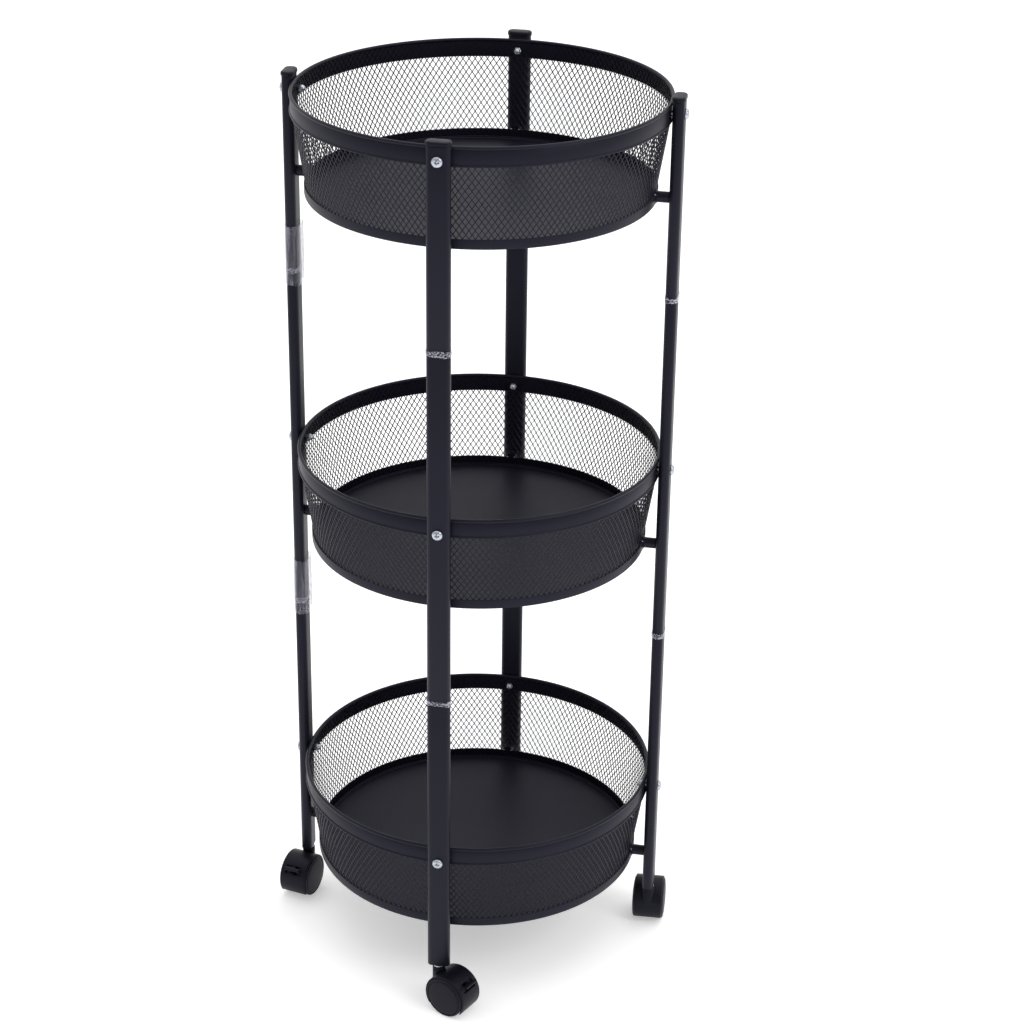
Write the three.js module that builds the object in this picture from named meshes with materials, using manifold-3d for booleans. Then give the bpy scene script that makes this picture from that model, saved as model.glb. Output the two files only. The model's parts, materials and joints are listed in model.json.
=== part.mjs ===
// Three-tier round mesh cart on four flat-oval posts and twin-wheel swivel casters.
// Units are millimetres, +Z is up, the floor is z = 0 and the cart's own axis is the Z axis.

import * as THREE from 'three';
import Module from 'manifold-3d';
import { mergeVertices } from 'three/addons/utils/BufferGeometryUtils.js';

const wasm = await Module();
wasm.setup();

// ---------- driving dimensions ----------

const gap = 0.3;                    // room left between pieces that touch on the real cart
const runningFit = 0.2;             // radial room round a pin that turns
const overshoot = 1;                // how far a cutting tool runs past what it cuts

const tierNames = ['bottom', 'middle', 'top'];
const tierSpacing = 321;            // from one rim to the next
const legDrop = 119;                // bottom rim's top edge above the lower end of the posts

const rimRadius = 160.3;            // outside of the rolled edge
const rimHeight = 17;
const rimSheet = 1;
const rimBeadWidth = 3.2;
const rimBeadHeight = 3;
const rimHemHeight = 2;
const rimHemStep = 0.8;             // how far the hem and the bead stand out from the band

const basketDepth = 88.6;           // rim's top edge to the underside of the pan
const basketTaper = 11.1;           // how much smaller the pan's radius is than the rim's
const panSheet = 0.8;
const panWallHeight = 9;
const panWallSheet = 0.8;
const panFillet = 1.2;
const panRingRise = 1;              // inner ring above the outer wall
const meshSheet = 0.8;

const tubeWidth = 20;               // along the rim
const tubeThickness = 10;           // across the rim
const tubeWall = 1;
const tubeCorner = 4.4;
const tubeCornerLeast = 0.5;
const tubeAboveRim = 1.7;
const jointBelowRim = 171.5;
const spigotLength = 28;
const spigotShoulder = 3;

const capLip = 0.7;
const capHeight = 4;
const capBevel = 1;
const capAboveScrew = 1;            // between the plug's foot and the screw

const screwBelowRim = 10;
const screwHeadRadius = 4.6;
const screwHeadHeight = 2.8;
const screwHeadBevel = 1.4;
const screwShankRadius = 2.4;
const screwClearance = 0.35;
const screwEndPastRim = 4.5;

const spacerRadius = 4.75;
const spacerAbovePan = 6.2;         // spacer's axis above the underside of the pan

const wheelRadius = 19;
const wheelInnerFace = 2.8;         // from the caster's middle plane
const wheelOuterEdge = 14.2;
const wheelDome = 1.1;
const wheelDomeRadius = 12;
const wheelChamfer = 1;
const axleRadius = 2.5;
const axleEndWall = 2.1;            // wheel material past the end of the axle
const casterTrail = 15;             // stem axis to axle

const hoodClearance = 0.6;
const hoodWall = 1.2;
const hoodHalfWidth = 13.2;
const hoodWebHalf = 2.2;
const hoodSkirtAboveFloor = 7;
const neckRadius = 5.75;
const neckAboveHood = 1.2;

const stemRadius = 3.5;
const stemInNeck = 4.8;
const stemFlangeRadius = 5;
const stemFlangeHeight = 1.5;
const stemPlugLength = 26;

const brakePivotRadius = 13;        // from the axle
const brakePivotAngle = 65;
const brakeArmAngle = 12;           // arm above level when off
const brakeTravel = 18;
const brakeBarrelRadius = 2.2;
const brakeArmLength = 16.2;
const brakeArmThickness = 2.6;
const brakeArmHalf = 1.9;
const brakeHeadHalf = 7.5;
const brakeHeadLength = 3.4;
const brakeSlack = 0.6;             // room round the lever in its slot

const posts = [
  { name: 'front', angle: -90, heading: -23, brake: true },
  { name: 'right', angle: 0, heading: 93, brake: false },
  { name: 'back', angle: 90, heading: 25, brake: false },
  { name: 'left', angle: 180, heading: -103, brake: true },
];

const ringSides = 28;
const wheelSides = 20;
const hoodSides = 36;
const pinSides = 12;
const screwSides = 8;
const cornerSteps = 1;

// ---------- places that follow from them ----------

const rad = THREE.MathUtils.degToRad;
const hoodInner = wheelRadius + hoodClearance;
const hoodOuter = hoodInner + hoodWall;
const neckTop = wheelRadius + hoodOuter + neckAboveHood;
const flangeBottom = neckTop + gap;
const casterHeight = flangeBottom + stemFlangeHeight + gap;
const rimTops = tierNames.map((name, i) => casterHeight + legDrop + i * tierSpacing);

const postInner = rimRadius + gap;
const postCentre = postInner + tubeThickness / 2;
const postOuter = postInner + tubeThickness;
const screwHoleRadius = screwShankRadius + screwClearance;
const rimBandOuter = rimRadius - rimHemStep;
const rimBandInner = rimBandOuter - rimSheet;
const panRadius = rimRadius - basketTaper;
const panWallTop = -basketDepth + panWallHeight;
const meshFoot = panRadius - panWallSheet - gap;
const meshTop = rimBandInner - gap;

// ---------- helpers ----------

function toSolid(geometry) {
  geometry.deleteAttribute('normal');
  geometry.deleteAttribute('uv');
  const merged = mergeVertices(geometry, 1e-4);
  return new wasm.Manifold(new wasm.Mesh({
    numProp: 3,
    vertProperties: new Float32Array(merged.attributes.position.array),
    triVerts: new Uint32Array(merged.index.array),
  }));
}

function toGeometry(solid) {
  const mesh = solid.getMesh();
  const geometry = new THREE.BufferGeometry();
  geometry.setAttribute('position', new THREE.BufferAttribute(mesh.vertProperties, 3));
  geometry.setIndex(new THREE.BufferAttribute(mesh.triVerts, 1));
  geometry.computeVertexNormals();
  return geometry;
}

const union = (...solids) => solids.reduce((a, b) => a.add(b));
const cut = (solid, ...tools) => tools.reduce((a, b) => a.subtract(b), solid);

// A profile of [radius, z] points, turned about the Z axis.
function turned(points, sides, startAngle = 0) {
  const profile = points.map(([r, z]) => new THREE.Vector2(r, z));
  return new THREE.LatheGeometry(profile, sides, startAngle).rotateX(Math.PI / 2);
}

// A closed ring profile, which ends where it starts.
const ring = (points) => turned([...points, points[0]], ringSides);

function rod(radius, from, to, sides = pinSides) {
  const profile = [[0, from], [radius, from], [radius, to], [0, to]];
  return turned(profile, sides);
}

// A rod whose axis lies along +X instead of +Z.
const rodAlongX = (...args) => rod(...args).rotateY(Math.PI / 2);

// The flat-oval outline of a post, with its thickness along X and its width along Y.
function oval(inset) {
  const halfX = tubeThickness / 2 - inset;
  const halfY = tubeWidth / 2 - inset;
  const r = Math.min(Math.max(tubeCorner - inset, tubeCornerLeast), halfX);
  const shape = new THREE.Shape();
  shape.moveTo(halfX, -halfY + r);
  shape.lineTo(halfX, halfY - r);
  shape.absarc(halfX - r, halfY - r, r, 0, rad(90));
  shape.absarc(-halfX + r, halfY - r, r, rad(90), rad(180));
  shape.absarc(-halfX + r, -halfY + r, r, rad(180), rad(270));
  shape.absarc(halfX - r, -halfY + r, r, rad(270), rad(360));
  return shape;
}

function prism(shape, from, to) {
  const options = { depth: to - from, bevelEnabled: false, curveSegments: cornerSteps };
  return new THREE.ExtrudeGeometry(shape, options).translate(0, 0, from);
}

// ---------- baskets, with z = 0 at the rim's top edge ----------

function rimBand() {
  const band = toSolid(ring([
    [rimBandInner, -rimHeight],
    [rimRadius, -rimHeight],
    [rimRadius, -rimHeight + rimHemHeight],
    [rimBandOuter, -rimHeight + rimHemHeight],
    [rimBandOuter, -rimBeadHeight],
    [rimRadius, -rimBeadHeight],
    [rimRadius, 0],
    [rimRadius - rimBeadWidth, 0],
    [rimRadius - rimBeadWidth, -rimBeadHeight],
    [rimBandInner, -rimBeadHeight],
  ]));
  const holes = screwHoles(rimRadius - rimBeadWidth - overshoot, rimRadius + overshoot);
  return toGeometry(cut(band, ...holes));
}

function screwHoles(from, to) {
  return posts.map(({ angle }) => toSolid(
    rodAlongX(screwHoleRadius, from, to, screwSides)
      .translate(0, 0, -screwBelowRim)
      .rotateZ(rad(angle))));
}

// The mesh's outline from its foot to its top edge, moved out by a distance: straight
// where the pan holds it, tapered above that, and straight again inside the rim.
function meshOutline(out) {
  return [
    [meshFoot + out, -basketDepth + panSheet + gap],
    [meshFoot + out, panWallTop],
    [meshTop + out, -rimHeight],
    [meshTop + out, -rimBeadHeight - gap],
  ];
}

// The mesh stands as one thin closed shell.
function meshWall() {
  const wall = toSolid(ring([...meshOutline(0), ...meshOutline(-meshSheet).reverse()]));
  const holes = screwHoles(meshTop - meshSheet - overshoot, meshTop + overshoot);
  return toGeometry(cut(wall, ...holes));
}

// Floor, outer wall and inner ring in one pressing, with the four welded spacers that
// hold the basket's foot off the posts.
function panWithSpacers() {
  const floor = -basketDepth + panSheet;
  const ringOuter = panRadius - panWallSheet - meshSheet - 2 * gap;
  const ringInner = ringOuter - panWallSheet;
  const pan = toSolid(turned([
    [0, -basketDepth],
    [panRadius - panFillet, -basketDepth],
    [panRadius, -basketDepth + panFillet],
    [panRadius, panWallTop],
    [panRadius - panWallSheet, panWallTop],
    [panRadius - panWallSheet, floor],
    [ringOuter, floor],
    [ringOuter, panWallTop + panRingRise],
    [ringInner, panWallTop + panRingRise],
    [ringInner, floor],
    [0, floor],
  ], ringSides));
  const spacers = posts.map(({ angle }) => toSolid(
    rodAlongX(spacerRadius, panRadius - panWallSheet, postInner - gap)
      .translate(0, 0, -basketDepth + spacerAbovePan)
      .rotateZ(rad(angle))));
  const meshRoom = meshOutline(gap);
  const inside = toSolid(turned([
    [0, meshRoom[0][1]],
    ...meshRoom,
    [0, meshRoom[meshRoom.length - 1][1]],
  ], ringSides));
  return toGeometry(union(pan, ...spacers.map((spacer) => cut(spacer, inside))));
}

// ---------- posts, in a frame whose +X points away from the cart's axis ----------

// One length of tube. Its upper end is necked to plug into the length above.
function tubeLength(from, to, { necked, hole }) {
  const start = from - overshoot;
  const outside = [prism(oval(0), from, to)];
  const hollow = [];
  if (necked) {
    outside.push(prism(oval(tubeWall + gap), to - tubeWall, to + spigotLength));
    hollow.push(prism(oval(tubeWall), start, to - spigotShoulder));
    hollow.push(prism(oval(2 * tubeWall + gap), start, to + spigotLength + overshoot));
  } else {
    hollow.push(prism(oval(tubeWall), start, to + overshoot));
  }
  const drilled = rodAlongX(screwHoleRadius, -tubeThickness, tubeThickness, screwSides)
    .translate(0, 0, hole);
  return toGeometry(cut(union(...outside.map(toSolid)), ...hollow.map(toSolid), toSolid(drilled)));
}

// A lip that covers the tube's end, on a plug that runs up into it.
function cap(tubeTop, plugFoot) {
  const lip = new THREE.ExtrudeGeometry(oval(capBevel - capLip), {
    depth: capHeight - capBevel,
    bevelThickness: capBevel,
    bevelSize: capBevel,
    bevelSegments: 1,
    curveSegments: cornerSteps,
  }).translate(0, 0, tubeTop + gap);
  const belowLip = toSolid(prism(oval(-2 * capLip), tubeTop - capHeight, tubeTop + gap));
  const plug = prism(oval(tubeWall + gap), plugFoot, tubeTop + capHeight / 2);
  return toGeometry(union(cut(toSolid(lip), belowLip), toSolid(plug)));
}

// A pan-head screw that enters the post's outer face and ends inside the rim.
function screw() {
  const length = tubeThickness + gap + rimHemStep + rimSheet + screwEndPastRim;
  const head = screwHeadHeight + gap;
  return turned([
    [0, -length],
    [screwShankRadius, -length],
    [screwShankRadius, gap],
    [screwHeadRadius, gap],
    [screwHeadRadius - screwHeadBevel, head],
    [0, head],
  ], screwSides).rotateY(Math.PI / 2).translate(postOuter, 0, 0);
}

// ---------- casters: stem axis at x = y = 0, trailing towards +X, floor at z = 0 ----------

// The pin, its flange under the tube, and the plug moulded round its upper end.
function stem() {
  const plugFoot = casterHeight;
  const pin = toSolid(rod(stemRadius, neckTop - stemInNeck, plugFoot + stemFlangeHeight));
  const flange = toSolid(rod(stemFlangeRadius, flangeBottom, flangeBottom + stemFlangeHeight));
  const plug = toSolid(prism(oval(tubeWall + gap), plugFoot, plugFoot + stemPlugLength));
  return [pin, flange, plug];
}

const axleAt = [casterTrail, wheelRadius];

// A cylinder along the axle, or parallel to it at another [x, z], from one distance off the
// middle plane to another.
function acrossCaster(radius, from, to, sides = pinSides, [x, z] = axleAt) {
  return rod(radius, from, to, sides).rotateX(-Math.PI / 2).translate(x, 0, z);
}

// A side outline of [x, z] points, given a width about the middle plane.
function sidePlate(points, halfWidth) {
  const shape = new THREE.Shape(points.map(([x, z]) => new THREE.Vector2(x, z)));
  return new THREE.ExtrudeGeometry(shape, { depth: 2 * halfWidth, bevelEnabled: false })
    .translate(0, 0, -halfWidth)
    .rotateX(Math.PI / 2);
}

const brakePivot = [
  casterTrail + brakePivotRadius * Math.cos(rad(brakePivotAngle)),
  wheelRadius + brakePivotRadius * Math.sin(rad(brakePivotAngle)),
];

// A point at a distance from the brake's pivot, at an angle above level.
function fromPivot(distance, angle, side = 0) {
  const a = rad(angle);
  return [
    brakePivot[0] + distance * Math.cos(a) - side * Math.sin(a),
    brakePivot[1] + distance * Math.sin(a) + side * Math.cos(a),
  ];
}

function hood(brake) {
  const outer = toSolid(acrossCaster(hoodOuter, -hoodHalfWidth, hoodHalfWidth, hoodSides));
  const neckSolid = toSolid(rod(neckRadius, wheelRadius + hoodWall, neckTop));
  const wide = 4 * hoodOuter;
  const below = toSolid(new THREE.BoxGeometry(wide, wide, 2 * hoodSkirtAboveFloor));
  const far = hoodHalfWidth + neckRadius;
  const wells = [-1, 1].map((side) => toSolid(acrossCaster(
    hoodInner,
    Math.min(side * hoodWebHalf, side * far),
    Math.max(side * hoodWebHalf, side * far),
    hoodSides)));
  const bore = toSolid(rod(stemRadius + runningFit, neckTop - stemInNeck - gap, neckTop + overshoot));
  const axleHole = toSolid(acrossCaster(axleRadius + gap, -hoodHalfWidth, hoodHalfWidth));
  const body = cut(union(outer, neckSolid), below, ...wells, bore, axleHole);
  return toGeometry(brake ? cut(body, ...brakeRoom()) : body);
}

// Room for the lever: a wedge in the web, and a wider slot through the hood's skin.
function brakeRoom() {
  const reach = hoodOuter;
  const half = brakeArmThickness / 2 + brakeSlack;
  const high = brakeArmAngle;
  const low = brakeArmAngle - brakeTravel;
  const wedge = [
    fromPivot(0, high, half),
    fromPivot(0, low, -half),
    fromPivot(reach, low, -half),
    fromPivot(reach, high, half),
  ];
  const skin = hoodInner - brakePivotRadius;
  const slot = [
    fromPivot(skin, high, half),
    fromPivot(skin, low, -half),
    fromPivot(reach, low, -half),
    fromPivot(reach, high, half),
  ];
  const through = hoodWebHalf + overshoot;
  const barrel = acrossCaster(brakeBarrelRadius + gap, -through, through, pinSides, brakePivot);
  return [
    toSolid(barrel),
    toSolid(sidePlate(wedge, through)),
    toSolid(sidePlate(slot, brakeHeadHalf + brakeSlack)),
  ];
}

function brakeLever() {
  const half = brakeArmThickness / 2;
  const headFrom = brakeArmLength - brakeHeadLength;
  const plate = (from, width) => toSolid(sidePlate([
    fromPivot(from, brakeArmAngle, -half),
    fromPivot(brakeArmLength, brakeArmAngle, -half),
    fromPivot(brakeArmLength, brakeArmAngle, half),
    fromPivot(from, brakeArmAngle, half),
  ], width));
  const barrel = acrossCaster(brakeBarrelRadius, -brakeArmHalf, brakeArmHalf, pinSides, brakePivot);
  const arm = plate(0, brakeArmHalf);
  return toGeometry(union(toSolid(barrel), arm, plate(headFrom, brakeHeadHalf)));
}

// Flats, not corners, of the faceted tread meet the floor.
function wheel(side) {
  const tread = wheelRadius / Math.cos(Math.PI / wheelSides);
  const bore = axleRadius + runningFit;
  const outer = wheelOuterEdge + wheelDome;
  const axleEnd = outer - axleEndWall + gap;
  return turned([
    [bore, wheelInnerFace],
    [tread, wheelInnerFace],
    [tread, wheelOuterEdge - wheelChamfer],
    [tread - wheelChamfer, wheelOuterEdge],
    [wheelDomeRadius, outer],
    [0, outer],
    [0, axleEnd],
    [bore, axleEnd],
    [bore, wheelInnerFace],
  ], wheelSides, Math.PI / wheelSides)
    .rotateX(side > 0 ? -Math.PI / 2 : Math.PI / 2)
    .translate(casterTrail, 0, wheelRadius);
}

// ---------- materials ----------

const finishes = {
  powderCoat: { color: 0x202126, roughness: 0.45, metalness: 0.1 },
  meshCoat: { color: 0x2a2b31, roughness: 0.5, metalness: 0.1 },
  blackPlastic: { color: 0x17171a, roughness: 0.4, metalness: 0 },
  zinc: { color: 0xc4c8cc, roughness: 0.3, metalness: 0.95 },
};

function piece(name, geometry, finish) {
  const mesh = new THREE.Mesh(geometry, new THREE.MeshStandardMaterial(finishes[finish]));
  mesh.name = name;
  return mesh;
}

// ---------- assembly ----------

function basket(tier, rimTop) {
  const group = new THREE.Group();
  group.position.z = rimTop;
  group.add(
    piece(`basket_${tier}_rim`, rimBand(), 'powderCoat'),
    piece(`basket_${tier}_mesh`, meshWall(), 'meshCoat'),
    piece(`basket_${tier}_pan`, panWithSpacers(), 'powderCoat'),
  );
  return group;
}

function post({ name, angle }) {
  const group = new THREE.Group();
  group.rotation.z = rad(angle);
  const [bottomRim, middleRim, topRim] = rimTops;
  const lowerJoint = middleRim - jointBelowRim;
  const upperJoint = topRim - jointBelowRim;
  const tubeTop = topRim + tubeAboveRim;
  const lengths = [
    ['lower', casterHeight, lowerJoint, bottomRim],
    ['middle', lowerJoint + gap, upperJoint, middleRim],
    ['upper', upperJoint + gap, tubeTop, topRim],
  ];
  for (const [part, from, to, rim] of lengths) {
    const options = { necked: part !== 'upper', hole: rim - screwBelowRim };
    const tube = piece(`post_${name}_${part}`, tubeLength(from, to, options), 'powderCoat');
    tube.position.x = postCentre;
    group.add(tube);
  }
  const plugFoot = topRim - screwBelowRim + screwShankRadius + capAboveScrew;
  const end = piece(`cap_${name}`, cap(tubeTop, plugFoot), 'blackPlastic');
  end.position.x = postCentre;
  group.add(end);
  rimTops.forEach((rimTop, i) => {
    const fastener = piece(`screw_${tierNames[i]}_${name}`, screw(), 'zinc');
    fastener.position.z = rimTop - screwBelowRim;
    group.add(fastener);
  });
  return group;
}

function caster({ name, angle, heading, brake }) {
  const group = new THREE.Group();
  group.position.set(postCentre * Math.cos(rad(angle)), postCentre * Math.sin(rad(angle)), 0);
  const stemMesh = piece(`caster_${name}_stem`, toGeometry(union(...stem())), 'zinc');
  stemMesh.rotation.z = rad(angle);
  const turning = new THREE.Group();
  turning.rotation.z = rad(heading);
  const axleEnd = wheelOuterEdge + wheelDome - axleEndWall;
  const axle = acrossCaster(axleRadius, -axleEnd, axleEnd);
  turning.add(
    piece(`caster_${name}_hood`, hood(brake), 'blackPlastic'),
    piece(`caster_${name}_axle`, axle, 'zinc'),
    piece(`caster_${name}_wheel_a`, wheel(1), 'blackPlastic'),
    piece(`caster_${name}_wheel_b`, wheel(-1), 'blackPlastic'),
  );
  if (brake) turning.add(piece(`caster_${name}_brake`, brakeLever(), 'blackPlastic'));
  group.add(stemMesh, turning);
  return group;
}

const cart = new THREE.Group();
tierNames.forEach((tier, i) => cart.add(basket(tier, rimTops[i])));
posts.forEach((place) => cart.add(post(place), caster(place)));

export default cart;
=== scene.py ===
"""Finishes the three-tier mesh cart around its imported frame, and sets it on a studio floor."""
import json
import math

import bmesh
import bpy
from bpy.props import FloatProperty, FloatVectorProperty, IntProperty, PointerProperty
from mathutils import Matrix, Vector


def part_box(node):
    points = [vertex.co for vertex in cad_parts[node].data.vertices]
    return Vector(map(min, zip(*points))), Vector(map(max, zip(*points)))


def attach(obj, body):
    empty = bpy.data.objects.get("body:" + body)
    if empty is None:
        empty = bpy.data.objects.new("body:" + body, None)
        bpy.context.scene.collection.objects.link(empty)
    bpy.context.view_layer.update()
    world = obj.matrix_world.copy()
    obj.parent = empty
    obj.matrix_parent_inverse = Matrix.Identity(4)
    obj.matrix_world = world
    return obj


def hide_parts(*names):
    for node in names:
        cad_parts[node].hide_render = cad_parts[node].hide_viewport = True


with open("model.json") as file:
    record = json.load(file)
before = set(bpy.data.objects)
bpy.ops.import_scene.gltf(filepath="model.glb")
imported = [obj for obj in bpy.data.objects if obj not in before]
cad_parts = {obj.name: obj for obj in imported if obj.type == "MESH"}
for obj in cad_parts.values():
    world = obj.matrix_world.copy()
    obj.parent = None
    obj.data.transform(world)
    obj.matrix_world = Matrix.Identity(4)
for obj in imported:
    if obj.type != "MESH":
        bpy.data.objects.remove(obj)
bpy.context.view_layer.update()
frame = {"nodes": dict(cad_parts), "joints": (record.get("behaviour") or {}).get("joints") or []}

bl_info = {
    "name": "Mesh Cart",
    "version": (1, 0, 0),
    "blender": (4, 5, 0),
    "location": "View3D > Sidebar > Cart",
    "description": "Builds the finished pieces of a three-tier mesh cart on its frame",
    "category": "Object",
}

TIERS = ("bottom", "middle", "top")
POSTS = ("front", "right", "back", "left")
JOINTS = {joint["name"]: joint for joint in frame["joints"]}
ROOT = "root"
MM = 0.001
TINY = 0.0001 * MM           # points closer than this are one point
GAP = 0.3 * MM               # clearance between pieces that meet
PAN_WALL = 9 * MM            # height of a pan's outer wall
SPACER_RISE = 6.2 * MM       # a spacer's middle above the foot of its pan
COOL = (0.76, 0.75, 1.0, 1.0)    # tint of the gloss on coat and plastic


# ---------- what the user can change ----------

class CartSizes(bpy.types.PropertyGroup):
    """Sizes of the details that the frame leaves plain."""
    diamond_width: FloatProperty(
        name="Diamond Width", description="Width of one opening in the mesh",
        default=5.3 * MM, min=1 * MM, unit="LENGTH")
    diamond_height: FloatProperty(
        name="Diamond Height", description="Height of one opening in the mesh",
        default=8.0 * MM, min=1 * MM, unit="LENGTH")
    strand_width: FloatProperty(
        name="Strand Width", description="Width of a strand between two openings",
        default=0.76 * MM, min=0.1 * MM, unit="LENGTH")
    strand_depth: FloatProperty(
        name="Strand Depth", description="Thickness of the mesh through the wall",
        default=0.5 * MM, min=0.1 * MM, unit="LENGTH")
    rim_bead: FloatProperty(
        name="Rim Bead", description="Diameter of the rolled upper edge",
        default=3.2 * MM, unit="LENGTH")
    rim_hem: FloatProperty(
        name="Rim Hem", description="Diameter of the hem along the band's lower edge",
        default=1.8 * MM, unit="LENGTH")
    sheet: FloatProperty(
        name="Sheet", description="Thickness of the pressed steel sheet",
        default=0.8 * MM, unit="LENGTH")
    post_corner: FloatProperty(
        name="Post Corner", description="Radius of a post's rounded sides",
        default=4.4 * MM, unit="LENGTH")
    brake_reach: FloatProperty(
        name="Brake Reach", description="Brake lever's length from its pivot",
        default=16.2 * MM, unit="LENGTH")
    brake_tab: FloatProperty(
        name="Brake Tab", description="Width of the brake lever's tab",
        default=15 * MM, unit="LENGTH")
    brake_rise: FloatProperty(
        name="Brake Rise", description="Angle of the brake lever above level when it is off",
        default=math.radians(12), subtype="ANGLE")
    round_steps: IntProperty(
        name="Round Steps", description="Facets round a basket",
        default=256, min=32, max=512)


class CartColours(bpy.types.PropertyGroup):
    """Colours of the finishes."""
    powder_coat: FloatVectorProperty(
        name="Powder Coat", description="Satin coat on tubes, rims and pans",
        subtype="COLOR", size=3, default=(0.0058, 0.0056, 0.0108), min=0, max=1)
    moulding: FloatVectorProperty(
        name="Moulding", description="Black plastic of casters and caps",
        subtype="COLOR", size=3, default=(0.0042, 0.0040, 0.0070), min=0, max=1)
    zinc: FloatVectorProperty(
        name="Zinc", description="Plated screws, nuts and stems",
        subtype="COLOR", size=3, default=(0.52, 0.55, 0.61), min=0, max=1)
    film: FloatVectorProperty(
        name="Film", description="Clear sleeves on the posts",
        subtype="COLOR", size=3, default=(0.62, 0.61, 0.72), min=0, max=1)
    floor: FloatVectorProperty(
        name="Floor", description="Studio floor",
        subtype="COLOR", size=3, default=(0.93, 0.93, 0.93), min=0, max=1)


class CartStage(bpy.types.PropertyGroup):
    """The camera and the studio."""
    bearing: FloatProperty(
        name="Bearing", description="Camera's place round the cart, from the front post",
        default=math.radians(11.6), subtype="ANGLE")
    distance: FloatProperty(
        name="Distance", description="Level distance from the cart's axis to the camera",
        default=2.1072, unit="LENGTH")
    height: FloatProperty(
        name="Height", description="Camera's height above the floor",
        default=1.4189, unit="LENGTH")
    pitch: FloatProperty(
        name="Pitch", description="How far the camera looks down",
        default=math.radians(25.47), subtype="ANGLE")
    yaw: FloatProperty(
        name="Yaw", description="How far the camera looks to the right of the axis",
        default=math.radians(0.8), subtype="ANGLE")
    roll: FloatProperty(
        name="Roll", description="How far the camera leans",
        default=math.radians(0.73), subtype="ANGLE")
    lens: FloatProperty(
        name="Lens", description="Focal length in millimetres on a 36 mm sensor",
        default=91.8, min=1)
    world: FloatProperty(
        name="World", description="Strength of the light from all round",
        default=1.0, min=0)
    front: FloatProperty(
        name="Front", description="Share of that light that comes from the viewer's side",
        default=0.45, min=0, max=1)


def sizes():
    return bpy.context.scene.cart_sizes


def colours():
    return bpy.context.scene.cart_colours


# ---------- node trees ----------

class Value:
    """A node's output that takes part in Python arithmetic by adding Math nodes."""

    def __init__(self, tree, socket):
        self.tree = tree
        self.socket = socket

    def math(self, operation, *others):
        terms = [self, *others]
        return self.tree.node("ShaderNodeMath", {"operation": operation}, dict(enumerate(terms)))

    def __add__(self, other):
        return self.math("ADD", other)

    def __sub__(self, other):
        return self.math("SUBTRACT", other)

    def __rsub__(self, other):
        return self.tree.node("ShaderNodeMath", {"operation": "SUBTRACT"}, {0: other, 1: self})

    def __mul__(self, other):
        return self.math("MULTIPLY", other)

    def __truediv__(self, other):
        return self.math("DIVIDE", other)

    def __mod__(self, other):
        return self.math("FLOORED_MODULO", other)

    __radd__ = __add__
    __rmul__ = __mul__


class Tree:
    """A shader or geometry node tree, built one node at a time."""

    def __init__(self, nodes_and_links):
        self.data = nodes_and_links

    def node(self, kind, settings=None, inputs=None, output=0):
        made = self.data.nodes.new(kind)
        for name, value in (settings or {}).items():
            if name == "stops":
                self.set_stops(made.color_ramp, value)
            else:
                setattr(made, name, value)
        for key, value in (inputs or {}).items():
            self.feed(made.inputs[key], value)
        return Value(self, made.outputs[output])

    def feed(self, socket, value):
        if isinstance(value, Value):
            self.data.links.new(value.socket, socket)
        else:
            socket.default_value = value

    @staticmethod
    def set_stops(ramp, stops):
        while len(ramp.elements) < len(stops):
            ramp.elements.new(1)
        for element, (position, shade) in zip(ramp.elements, stops):
            element.position = position
            element.color = (shade, shade, shade, 1)


class Finish(Tree):
    """A material with one Principled shader whose fixed values sit on its own sockets."""

    def __init__(self, name, colour, roughness, metallic=0, **fixed):
        self.material = bpy.data.materials.new(name)
        self.material.use_nodes = True
        super().__init__(self.material.node_tree)
        self.shader = self.data.nodes["Principled BSDF"]
        self.set("Base Color", (*colour, 1))
        self.set("Roughness", roughness)
        self.set("Metallic", metallic)
        for socket, value in fixed.items():
            self.set(socket.replace("_", " "), value)
        coordinates = self.data.nodes.new("ShaderNodeTexCoord")
        self.place = Value(self, coordinates.outputs["Object"])

    def set(self, socket, value):
        self.feed(self.shader.inputs[socket], value)

    def noise(self, scale, detail, place=None):
        return self.node("ShaderNodeTexNoise", None, {
            "Vector": place or self.place, "Scale": scale, "Detail": detail})

    def stretched(self, factors):
        return self.node("ShaderNodeMapping", None, {"Vector": self.place, "Scale": factors})

    def tone(self, factor, dark, light):
        """The shader's colour, between two colours, as factor goes from 0 to 1."""
        return self.node("ShaderNodeMix", {"data_type": "RGBA"}, {
            "Factor": factor, 6: (*dark, 1), 7: (*light, 1)}, output=2)

    def bump(self, height, distance, strength):
        self.set("Normal", self.node("ShaderNodeBump", None, {
            "Height": height, "Distance": distance, "Strength": strength}))


def scaled(colour, factor):
    return tuple(min(1, channel * factor) for channel in colour)


# ---------- finishes ----------

def powder_coat(name="powder_coat", roughness=0.42):
    """Satin powder coat: a fine orange-peel skin, faintly cloudy in tone and gloss."""
    base = colours().powder_coat
    finish = Finish(name, base, roughness, Specular_IOR_Level=0.24, Specular_Tint=COOL)
    cloud = finish.noise(28, 3)
    speck = finish.noise(1500, 1)
    finish.set("Base Color", finish.tone(cloud, scaled(base, 0.82), scaled(base, 1.22)))
    finish.set("Roughness", cloud * 0.10 + speck * 0.08 + (roughness - 0.09))
    peel = finish.noise(900, 2)
    finish.bump(peel * 0.7 + speck * 0.3, 0.06 * MM, 0.5)
    return finish.material


def moulding(name, roughness):
    """Moulded black plastic with a spark-eroded grain."""
    base = colours().moulding
    finish = Finish(name, base, roughness, Specular_IOR_Level=0.2, Specular_Tint=COOL)
    patch = finish.noise(90, 2)
    grain = finish.noise(2600, 1)
    finish.set("Base Color", finish.tone(patch, scaled(base, 0.85), scaled(base, 1.3)))
    finish.set("Roughness", patch * 0.12 + (roughness - 0.06))
    finish.bump(grain, 0.05 * MM, 0.6)
    return finish.material


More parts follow.
